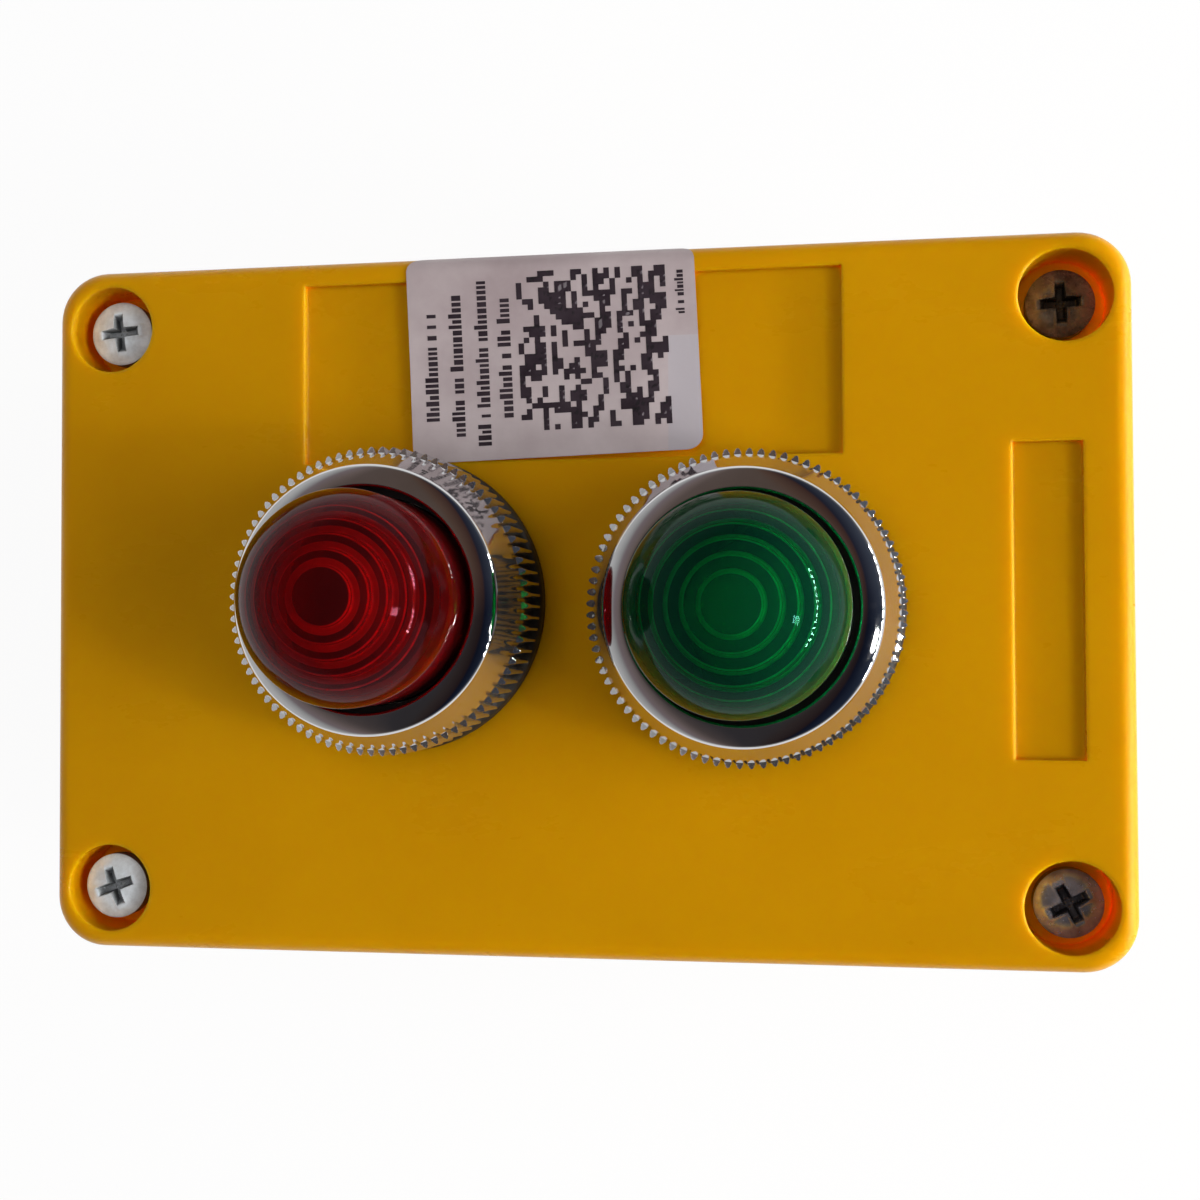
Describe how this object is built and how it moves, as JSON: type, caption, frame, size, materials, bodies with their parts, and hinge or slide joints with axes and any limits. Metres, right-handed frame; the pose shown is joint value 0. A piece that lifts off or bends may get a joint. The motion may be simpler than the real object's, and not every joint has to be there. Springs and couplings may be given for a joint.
{
  "type": "pushbutton control station",
  "caption": "Surface-mounted yellow box with a red and a green lit pushbutton behind knurled chrome rings, its cover held by corner screws.",
  "frame": {"origin": "centre of the box's flat back, which is the face that goes against the wall", "axes": "+X along the box's length, from the red button to the green one; +Y across the box towards the long recess; +Z out of the back towards the buttons"},
  "size_m": [0.105, 0.068, 0.0784],
  "materials": {
    "yellow_plastic": "moulded plastic with a soft gloss, very slightly see-through at the edges",
    "seal_rubber": "matt black rubber",
    "zinc_screws": "zinc plated, worn by the driver",
    "red_lens": "clear red moulded lens",
    "green_lens": "clear green moulded lens",
    "chrome_ring": "bright chrome plate",
    "ivory_plastic": "satin ivory plastic",
    "black_plastic": "moulded black plastic",
    "lamp_white": "milky lamp",
    "brass": "stamped brass",
    "spring_steel": "drawn steel"
  },
  "bodies": {
    "station": {"base_housing": "yellow_plastic", "cover": "yellow_plastic", "cover_seal": "seal_rubber", "cover_screws": "zinc_screws", "red_ring_nut": "chrome_ring", "red_front_seal": "seal_rubber", "red_rear_seal": "seal_rubber", "red_button_body": "black_plastic", "red_return_spring": "spring_steel", "red_lamp": "lamp_white", "red_lamp_block": "ivory_plastic", "red_lamp_terminals": "brass", "red_nc_block": "black_plastic", "red_no_block": "black_plastic", "red_nc_terminals": "brass", "red_no_terminals": "brass", "red_contact_springs": "spring_steel", "red_terminal_screws": "zinc_screws", "red_clamp_plate": "spring_steel", "red_clamp_screws": "zinc_screws", "green_ring_nut": "chrome_ring", "green_front_seal": "seal_rubber", "green_rear_seal": "seal_rubber", "green_button_body": "black_plastic", "green_return_spring": "spring_steel", "green_lamp": "lamp_white", "green_lamp_block": "ivory_plastic", "green_lamp_terminals": "brass", "green_nc_block": "black_plastic", "green_no_block": "black_plastic", "green_nc_terminals": "brass", "green_no_terminals": "brass", "green_contact_springs": "spring_steel", "green_terminal_screws": "zinc_screws", "green_clamp_plate": "spring_steel", "green_clamp_screws": "zinc_screws"},
    "red_button": {"red_lens": "red_lens", "red_lens_holder": "ivory_plastic", "red_nc_plunger": "ivory_plastic", "red_no_plunger": "ivory_plastic", "red_nc_bridge": "brass", "red_no_bridge": "brass"},
    "green_button": {"green_lens": "green_lens", "green_lens_holder": "ivory_plastic", "green_nc_plunger": "ivory_plastic", "green_no_plunger": "ivory_plastic", "green_nc_bridge": "brass", "green_no_bridge": "brass"}
  },
  "joints": [
    {"name": "red_press", "type": "slide", "parent": "station", "child": "red_button", "axis": [0, 0, -1], "range_m": [0, 0.0045], "stiffness_N_per_m": 1500, "springref_m": -0.002, "deforming": ["red_return_spring", "red_contact_springs"]},
    {"name": "green_press", "type": "slide", "parent": "station", "child": "green_button", "axis": [0, 0, -1], "range_m": [0, 0.0045], "stiffness_N_per_m": 1500, "springref_m": -0.002, "deforming": ["green_return_spring", "green_contact_springs"]}
  ]
}
